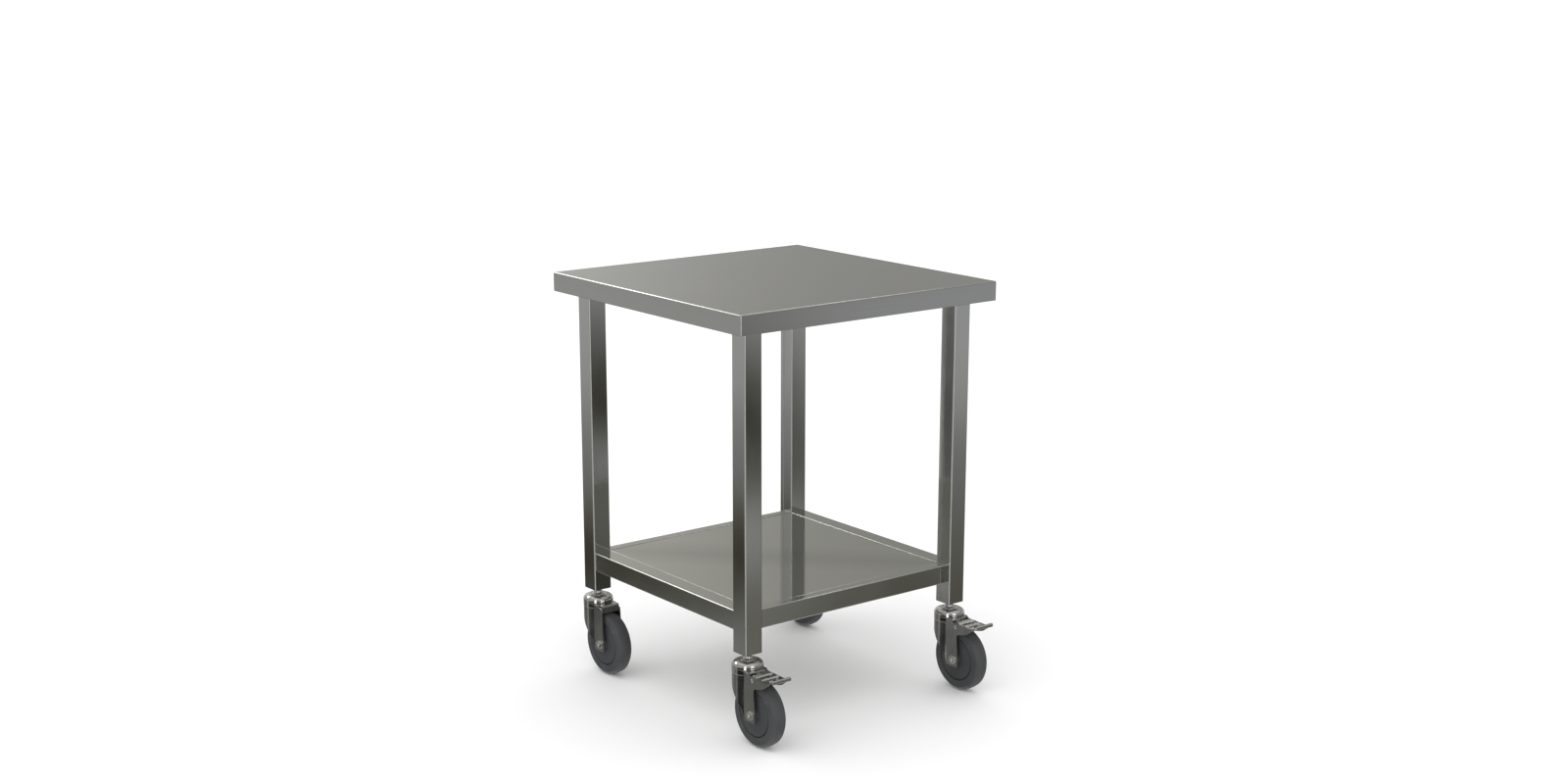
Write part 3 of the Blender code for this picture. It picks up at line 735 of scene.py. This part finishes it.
def nut():
    """Chamfered locknut on a washer."""
    x = FORK_X + 0.3
    lo, hi = -x - 5.1, -x - 1.3
    cap = lathe([(4.35, hi), (9.0, hi), (9.0, lo + 1.4), (7.9, lo + 0.8), (6.6, lo + 0.2), (5.6, lo), (4.35, lo)], 48, "X")
    body = combine(prism(soften([(*p, 0.5) for p in hexagon(7.4)], 2), -x - 5.6, -x - 1.2, "X"), [("INTERSECT", cap)])
    washer = lathe(soften([(4.35, -x - 1.3, 0.0), (8.7, -x - 1.3, 0.3), (8.7, -x - 0.02, 0.3), (4.35, -x - 0.02, 0.0)], 3), 48, "X")
    return join(body, washer)


def pedal():
    """Pressed brake pedal: bent plate between the cheeks, ears on the pin, shoe over the tyre, wide upturned lip."""
    half = FORK_X - FORK_T - 0.7
    top = [(-35.6, 136.6, 0.5), (-39.6, 138.9, 2.5), (-47.0, 138.6, 4.0), (-51.0, 136.4, 3.0), (-60.0, 136.0, 2.0), (-64.0, 138.0, 2.0), (-68.4, 136.2, 3.0), (-86.4, 135.4, 4.0), (-92.0, 140.2)]
    low = [(-92.0, 137.0), (-86.8, 132.7, 3.0), (-68.6, 133.5, 3.0), (-64.0, 135.0, 2.0), (-60.2, 133.3, 2.0), (-51.0, 133.7, 3.0), (-46.6, 136.1, 4.0), (-40.8, 136.3, 2.0), (-37.0, 134.8, 0.5)]
    plate = prism(soften(top + low, 5), -half, half, "X")
    lip_side = soften([(-91.0, 139.3), (-94.4, 142.6, 2.0), (-97.6, 144.9, 2.0), (-100.8, 145.0, 1.0), (-102.0, 143.6, 0.8), (-102.0, 138.6, 0.8), (-100.6, 137.6, 0.4),
                       (-99.6, 138.8, 0.4), (-99.6, 141.8, 0.8), (-97.6, 142.3, 1.0), (-95.4, 140.8, 1.5), (-91.0, 136.2)], 4)
    lip = prism(lip_side, -20.6, 20.6, "X", 0.35)
    ear = soften([(-36.4, 136.2, 0.5), (-37.0, 128.6, 2.2), (-39.2, 126.6, 2.2), (-44.6, 126.6, 2.5), (-50.0, 131.0, 4.0), (-60.0, 134.8), (-52.0, 135.4), (-47.0, 137.8, 1.0), (-41.0, 137.8)], 5)
    ear_l = prism(ear, -half, -half + 2.2, "X")
    ear_r = prism(ear, half - 2.2, half, "X")
    shoe = prism(soften([(-62.6, 136.4), (-54.6, 127.0, 1.0), (-58.0, 125.6, 2.0), (-61.0, 125.6, 1.0), (-66.0, 136.0)], 4), -9.0, 9.0, "X")
    pin = move(lathe([(0, -40), (2.8, -40), (2.8, 40), (0, 40)], 24, "X"), y=PIN_Y, z=PIN_Z)
    slot_a = prism(rounded(-13.5, 13.5, -60.2, -51.4, 1.6, 5), 130, 150)
    slot_b = prism(rounded(-13.5, 13.5, -82.0, -71.0, 2.2, 5), 128, 150)
    return combine(plate, [("UNION", lip), ("UNION", ear_l), ("UNION", ear_r), ("UNION", shoe), ("DIFFERENCE", pin), ("DIFFERENCE", slot_a), ("DIFFERENCE", slot_b)])


def pedal_pin():
    x = FORK_X + 1.2
    head = [(0.0, -x), (1.6, -x + 0.04), (3.0, -x + 0.3), (3.8, -x + 0.85), (3.8, -FORK_X - 0.02), (2.3, -FORK_X - 0.02)]
    return lathe(head + [(r, -h) for r, h in head[::-1]], 36, "X")


def to_mm_mesh(bm, name):
    """Keeps one template of a repeated piece."""
    mesh = bpy.data.meshes.new(name)
    bm.to_mesh(mesh)
    bm.free()
    return mesh


made = {}


def template(key, maker):
    if key not in made:
        made[key] = to_mm_mesh(maker(), f"template_{key}")
    bm = bmesh.new()
    bm.from_mesh(made[key])
    return bm


for n in CORNERS:
    x, y = leg_at[n][0], leg_at[n][1]
    ax, ay, az = axle_at[n]
    key = f"castor_{n}"
    braked = n.startswith("front")
    kind = "braked" if braked else "plain"
    swivel, wheel = f"swivel_{n}", f"wheel_{n}"
    piece(f"{key}_threaded_stem", move(template("stem", stem), x, y), "table", bolt_mat, "stem_zinc", [f"{key}_stem"], "Z", 50)
    piece(f"{key}_bearing_cover", move(template("dome", dome), x, y), "table", chrome, "dome_chrome", [f"{key}_dome"], "Z", 50)
    piece(f"{key}_pressed_fork", move(template(f"fork_{kind}", lambda: fork(braked)), x, y), swivel, fork_mat, "fork_plate", [f"{key}_fork"], "Z", 34, bevel=0.45)
    piece(f"{key}_race_band", move(template("band", race_band), x, y), swivel, chrome, "dome_chrome", [], "Z", 50)
    piece(f"{key}_wheel_tyre", move(template("tyre", tyre), ax, ay, az), wheel, tyre_mat, "tyre_rubber", [f"{key}_tyre"], "X", 60)
    piece(f"{key}_wheel_hub", move(template("hub", hub), ax, ay, az), wheel, hub_mat, "hub_nylon", [f"{key}_hub"], "X", 50)
    piece(f"{key}_axle_bush", move(template("bush", bush), ax, ay, az), swivel, bush_mat, "bush_steel", [f"{key}_bush"], "X", 40)
    piece(f"{key}_axle_bolt", move(template("bolt", bolt), ax, ay, az), swivel, bolt_mat, "bolt_zinc", [f"{key}_bolt"], "X", 34)
    piece(f"{key}_axle_nut", move(template("nut", nut), ax, ay, az), swivel, bolt_mat, "bolt_zinc", [f"{key}_nut"], "X", 34)
    if braked:
        piece(f"{key}_pressed_pedal", move(template("pedal", pedal), x, y), f"brake_{n}", pedal_mat, "pedal_zinc", [f"{key}_brake_pedal"], "X", 34, bevel=0.35)
        piece(f"{key}_pedal_rivet", move(template("pin", pedal_pin), x, y + PIN_Y, PIN_Z), swivel, bolt_mat, "bolt_zinc", [f"{key}_brake_pin"], "X", 45)

for mesh in made.values():
    bpy.data.meshes.remove(mesh)

# ------------------------------------------------------------------ carried-over nodes
for name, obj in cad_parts.items():
    if obj.hide_render:
        continue
    mat = socket_zinc if name.startswith("leg_socket") else board_mat if name == "worktop_core_board" else under_steel
    obj.data.materials.clear()
    obj.data.materials.append(mat)
    if name == "worktop_underside_panel":
        mod = obj.modifiers.new("eased_edges", "BEVEL")
        mod.width, mod.segments, mod.limit_method = 0.0004, 2, "ANGLE"

# ------------------------------------------------------------------ floor
def disc(name, radius, z, steps=96):
    bm = bmesh.new()
    rings = [radius * k for k in (0.02, 0.06, 0.15, 0.4, 1.0)]
    rows = [[bm.verts.new((r * math.cos(2 * math.pi * s / steps), r * math.sin(2 * math.pi * s / steps), z)) for s in range(steps)] for r in rings]
    bm.faces.new(rows[0])
    for a, b in zip(rows, rows[1:]):
        for i in range(steps):
            j = (i + 1) % steps
            bm.faces.new((a[i], b[i], b[j], a[j]))
    mesh = bpy.data.meshes.new(name)
    bm.to_mesh(mesh)
    bm.free()
    obj = bpy.data.objects.new(name, mesh)
    bpy.context.scene.collection.objects.link(obj)
    return obj


floor = disc("studio_floor", 16.0, -0.0004)
n = Net("floor_pale_matt")
plain = n.stretched((1.0, 1.0, 1.0))
soft = n.noise(plain, 1.3, 3.0)
grit = n.noise(plain, 420.0, 2.0)
n.link(n.blend(n.remap(soft, 0.3, 0.7, 0.0, 1.0), (0.895, 0.895, 0.893), (0.905, 0.905, 0.905)), n.shader.inputs["Base Color"])
n.link(n.remap(grit, 0.3, 0.7, 0.6, 0.75), n.shader.inputs["Roughness"])
n.shader.inputs["Specular IOR Level"].default_value = 0.15
floor.data.materials.append(n.mat)
floor.visible_glossy = False


# ------------------------------------------------------------------ soft studio surround
world = bpy.data.worlds.new("soft_studio")
bpy.context.scene.world = world
world.use_nodes = True
wt = world.node_tree
for node in list(wt.nodes):
    wt.nodes.remove(node)


def wnode(kind):
    return wt.nodes.new(kind)


def wmath(operation, a, b=None):
    node = wnode("ShaderNodeMath")
    node.operation = operation
    for k, v in enumerate((a, b)):
        if v is None:
            continue
        if isinstance(v, (int, float)):
            node.inputs[k].default_value = v
        else:
            wt.links.new(v, node.inputs[k])
    return node.outputs[0]


def wramp(value, low, high, stops):
    """Piecewise colour of a value: stops are (place, (r, g, b))."""
    scaled = wnode("ShaderNodeMapRange")
    scaled.inputs["From Min"].default_value = low
    scaled.inputs["From Max"].default_value = high
    wt.links.new(value, scaled.inputs["Value"])
    ramp = wnode("ShaderNodeValToRGB")
    ramp.color_ramp.interpolation = "EASE" if len(stops) < 3 else "LINEAR"
    elements = ramp.color_ramp.elements
    while len(elements) > 1:
        elements.remove(elements[-1])
    for k, (place, colour) in enumerate(stops):
        p = (place - low) / (high - low)
        e = elements[0] if k == 0 else elements.new(p)
        e.position = p
        e.color = (*colour, 1.0)
    wt.links.new(scaled.outputs["Result"], ramp.inputs["Fac"])
    return ramp.outputs["Color"]


def grey(*pairs):
    """(angle, level[, warmth]) stops as colours; warmth above 0 takes blue out."""
    out = []
    for p in pairs:
        w = p[2] if len(p) > 2 else 0.0
        out.append((p[0], (p[1] * (1 + 0.10 * w), p[1] * (1 + 0.06 * w), p[1] * (1 - 0.22 * w))))
    return out


coord = wnode("ShaderNodeTexCoord")
split = wnode("ShaderNodeSeparateXYZ")
wt.links.new(coord.outputs["Generated"], split.inputs[0])
elevation = wmath("MULTIPLY", wmath("ARCSINE", split.outputs["Z"]), 180 / math.pi)
azimuth = wmath("MULTIPLY", wmath("ARCTAN2", split.outputs["X"], split.outputs["Y"]), 180 / math.pi)

ABOVE = [(24, 0.30), (36, 0.38), (60, 0.60), (90, 0.70)]
BELOW = [(-90, 0.85), (-50, 0.70), (-36, 0.42)]
left_side = wramp(elevation, -90, 90, grey(*BELOW, (-28, 0.14), (-24, 0.15), (-21, 0.19, 0.5), (-20.2, 0.19, 0.3), (-19.0, 0.235), (-18.5, 0.17, 0.3), (-17.9, 0.085, 0.6), (-17.2, 0.045, 0.8), (-16.3, 0.050, 1.0), (-15.5, 0.105, 0.6), (-14.6, 0.20), (-13.6, 0.235), (-12.7, 0.30), (-11.8, 0.375), (-9, 0.42), (0, 0.45), (10, 0.45), *ABOVE))
left_corner = wramp(elevation, -90, 90, grey(*BELOW, (-28, 0.14), (-24, 0.15), (-21, 0.16, 0.5), (-19.0, 0.13), (-18.0, 0.16), (-17.2, 0.36), (-16.6, 0.52), (-15.4, 0.54), (-14.4, 0.48), (-13.4, 0.43), (-12.4, 0.42), (-11.2, 0.30), (-10.2, 0.30), (-9, 0.36), (0, 0.42), (10, 0.42), *ABOVE))
right_side = wramp(elevation, -90, 90, grey(*BELOW, (-28, 0.12), (-24, 0.12), (-21, 0.18, 0.6), (-19.2, 0.22, 0.4), (-18.2, 0.195, 0.3), (-16.9, 0.28, 0.1), (-16.1, 0.335), (-15.5, 0.30), (-14.6, 0.10, 0.5), (-13.8, 0.035, 0.9), (-12.9, 0.035, 0.7), (-12.0, 0.07, 0.5), (-11.0, 0.18), (-10.0, 0.29), (-9.4, 0.33), (-6, 0.32), (0, 0.30), (8, 0.20, 0.2), (18, 0.17, 0.3), *ABOVE))
right_rear = wramp(elevation, -90, 90, grey(*BELOW, (-28, 0.12), (-24, 0.10), (-20, 0.07, 0.5), (-16.6, 0.02, 0.9), (-15.6, 0.035, 0.7), (-15.0, 0.10), (-14.4, 0.33), (-13.8, 0.22), (-13.0, 0.06, 0.8), (-12.2, 0.035, 0.9), (-11.6, 0.06, 0.6), (-10.9, 0.11, 0.3), (-10.2, 0.19), (-9.4, 0.30), (-6, 0.32), (0, 0.30), (8, 0.20, 0.2), (18, 0.17, 0.3), *ABOVE))
right_end = wramp(elevation, -90, 90, grey(*BELOW, (-28, 0.12), (-24, 0.10), (-20, 0.10, 0.8), (-17.6, 0.10, 0.6), (-16.2, 0.135, 0.3), (-14.6, 0.19, 0.1), (-13.6, 0.22), (-12.6, 0.32), (-11.6, 0.38), (-9, 0.40, -0.3), (0, 0.40), (8, 0.25), (18, 0.2), *ABOVE))
far_side = wramp(elevation, -90, 90, grey(*BELOW, (-28, 0.12), (-14, 0.14), (-6, 0.2), (0, 0.28), (7, 0.325, 0.1), (12, 0.315, 0.2), (20, 0.305, 0.3), *ABOVE))
far_right = wramp(elevation, -90, 90, grey(*BELOW, (-28, 0.14), (-20, 0.13, 0.3), (-15, 0.15, 0.2), (-12, 0.20), (-9, 0.33), (-6, 0.50), (-2, 0.62), (4, 0.60), (12, 0.46), (20, 0.36), *ABOVE))
near_side = wramp(elevation, -90, 90, grey(*BELOW, (-28, 0.16), (-22, 0.14, 0.4), (-16, 0.15, 0.2), (-12, 0.18), (-9, 0.30), (-4, 0.42), (2, 0.38), (10, 0.31), (18, 0.27), *ABOVE))


def sector(*stops):
    return wramp(azimuth, -180, 180, [(a, (v, v, v)) for a, v in stops])


def weighted(colour, weight):
    node = wnode("ShaderNodeMix")
    node.data_type = "RGBA"
    node.blend_type = "MULTIPLY"
    node.inputs[0].default_value = 1.0
    wt.links.new(colour, node.inputs[6])
    wt.links.new(weight, node.inputs[7])
    return node.outputs[2]


def total(*colours):
    out = colours[0]
    for c in colours[1:]:
        node = wnode("ShaderNodeMix")
        node.data_type = "RGBA"
        node.blend_type = "ADD"
        node.inputs[0].default_value = 1.0
        wt.links.new(out, node.inputs[6])
        wt.links.new(c, node.inputs[7])
        out = node.outputs[2]
    return out


w_corner = sector((-110, 0.0), (-70, 1.0), (-41.4, 1.0), (-39.6, 0.0))
w_left = sector((-41.4, 0.0), (-39.6, 1.0), (-15, 1.0), (10, 0.0))
w_far = sector((-15, 0.0), (10, 1.0), (54, 1.0), (66, 0.0))
w_far_right = sector((54, 0.0), (66, 1.0), (96, 1.0), (116, 0.0))
w_end = sector((96, 0.0), (116, 1.0), (140.0, 1.0), (142.6, 0.0))
w_right = sector((140.0, 0.0), (142.6, 1.0), (144.0, 1.0), (145.8, 0.0))
w_rear = sector((144.0, 0.0), (145.8, 1.0), (160, 1.0), (178, 0.3))
w_near = sector((-179.5, 0.7), (-165, 1.0), (-110, 1.0), (-70, 0.0), (160, 0.0), (179.5, 0.7))
# the far side is brightest at its left end, which shades the flat tops across their width
w_far = weighted(w_far, sector((20, 2.1), (31, 1.78), (34, 1.42), (37, 1.14), (40, 1.0), (43, 0.97), (46, 1.04), (60, 1.1)))
# low down stand two bright cards, whose mirror images are the upright highlights on the castor covers,
# and a dark gap beside them, which stripes the curved fork noses
low_band = wramp(elevation, -90, 90, [(-90, (0, 0, 0)), (-30, (0, 0, 0)), (-27, (1, 1, 1)), (-17.2, (1, 1, 1)), (-16.2, (0, 0, 0)), (90, (0, 0, 0))])
card_height = wramp(elevation, -90, 90, [(-90, (0, 0, 0)), (-30, (0, 0, 0)), (-27, (1, 1, 1)), (-17.2, (1, 1, 1)), (-16.2, (0.75, 0.75, 0.75)), (24, (0.75, 0.75, 0.75)), (52, (0.60, 0.60, 0.60)), (60, (0, 0, 0)), (90, (0, 0, 0))])
cards = sector((-180, 1.5), (-168, 1.5), (-166.5, 0.0), (-133, 0.0), (-132, 1.6), (-117, 1.6), (-115.5, 0.0), (167, 0.0), (168, 1.5), (180, 1.5))
gap = sector((-180, 1.0), (-164, 1.0), (-162, 0.35), (-136, 0.35), (-134, 1.0), (-117, 1.0), (-116, 0.12), (-66, 0.12), (-61, 1.4), (-52, 1.7), (-47, 1.0), (-24, 1.0), (-18, 1.5), (0, 1.2), (20, 1.0), (150, 1.0), (155, 0.4), (163, 0.4), (165, 1.0), (180, 1.0))
gapped = wnode("ShaderNodeMix")
gapped.data_type = "RGBA"
wt.links.new(low_band, gapped.inputs[0])
gapped.inputs[6].default_value = (1, 1, 1, 1)
wt.links.new(gap, gapped.inputs[7])
surround = total(weighted(left_side, w_left), weighted(left_corner, w_corner), weighted(right_rear, w_rear), weighted(far_side, w_far), weighted(right_side, w_right), weighted(right_end, w_end), weighted(far_right, w_far_right), weighted(near_side, w_near))
surround = total(weighted(surround, gapped.outputs[2]), weighted(cards, card_height))
mirrored = wnode("ShaderNodeBackground")
wt.links.new(surround, mirrored.inputs["Color"])
# diffuse light comes evenly from a pale tent; polished metal mirrors the graded surround
tent = wnode("ShaderNodeBackground")
tent.inputs["Color"].default_value = (1.0, 1.0, 1.0, 1.0)
tent.inputs["Strength"].default_value = 1.21
path = wnode("ShaderNodeLightPath")
chosen = wnode("ShaderNodeMixShader")
wt.links.new(path.outputs["Is Glossy Ray"], chosen.inputs[0])
wt.links.new(tent.outputs[0], chosen.inputs[1])
wt.links.new(mirrored.outputs[0], chosen.inputs[2])
out = wnode("ShaderNodeOutputWorld")
wt.links.new(chosen.outputs[0], out.inputs["Surface"])


def softbox(name, at, towards, width, height, power, glossy=True):
    lamp = bpy.data.lights.new(name, "AREA")
    lamp.shape = "RECTANGLE"
    lamp.size, lamp.size_y = width, height
    lamp.energy = power
    obj = bpy.data.objects.new(name, lamp)
    obj.location = at
    obj.rotation_euler = (Vector(towards) - Vector(at)).to_track_quat("-Z", "Y").to_euler()
    bpy.context.scene.collection.objects.link(obj)
    obj.visible_camera = False
    obj.visible_glossy = glossy
    return obj


def aimed(name, azimuth, elevation, distance, width, height, level, target=(0.0, 0.0, 0.3)):
    """A softbox in that direction, of that radiance, facing the table."""
    az, el = math.radians(azimuth), math.radians(elevation)
    at = Vector(target) + distance * Vector((math.sin(az) * math.cos(el), math.cos(az) * math.cos(el), math.sin(el)))
    return softbox(name, at, target, width, height, level * math.pi * width * height)


edge_light = aimed("back_softbox", -14, 36, 4.6, 2.2, 0.9, 4.0)
edge_light.visible_diffuse = False
spark = aimed("right_softbox", 58, 48, 4.2, 0.9, 0.5, 3.6)
spark.visible_diffuse = False
key = bpy.data.lights.new("high_diffuser", "SUN")
key.energy = 0.42
key.angle = math.radians(70)
key_obj = bpy.data.objects.new("high_diffuser", key)
key_obj.rotation_euler = Vector((0.60, 0.16, -0.78)).to_track_quat("-Z", "Y").to_euler()
key_obj.visible_glossy = False
bpy.context.scene.collection.objects.link(key_obj)

# ------------------------------------------------------------------ camera, at the photograph's viewing angle
cam = bpy.data.cameras.new("camera")
cam_obj = bpy.data.objects.new("camera", cam)
bpy.context.scene.collection.objects.link(cam_obj)
yaw, pitch, roll = math.radians(37.82), math.radians(14.50), math.radians(0.04)
F = Vector((math.sin(yaw) * math.cos(pitch), math.cos(yaw) * math.cos(pitch), -math.sin(pitch)))
R = Vector((math.cos(yaw), -math.sin(yaw), 0))
U = R.cross(F)
r2 = R * math.cos(roll) + U * math.sin(roll)
u2 = -R * math.sin(roll) + U * math.cos(roll)
cam_obj.matrix_world = Matrix(((r2.x, u2.x, -F.x, -2.422), (r2.y, u2.y, -F.y, -3.1278 + T * MM), (r2.z, u2.z, -F.z, 1.4325), (0, 0, 0, 1)))
cam.sensor_width = 36
cam.lens = 2145.1 / 1600 * 36
cam.shift_x = (800 - 790.2) / 1600
cam.shift_y = (485.3 - 400) / 1600
cam.clip_start, cam.clip_end = 0.05, 80
bpy.context.scene.camera = cam_obj

view = bpy.context.scene.view_settings
view.view_transform = "Standard"
view.look = "None"
view.exposure = 0.0
view.gamma = 1.0
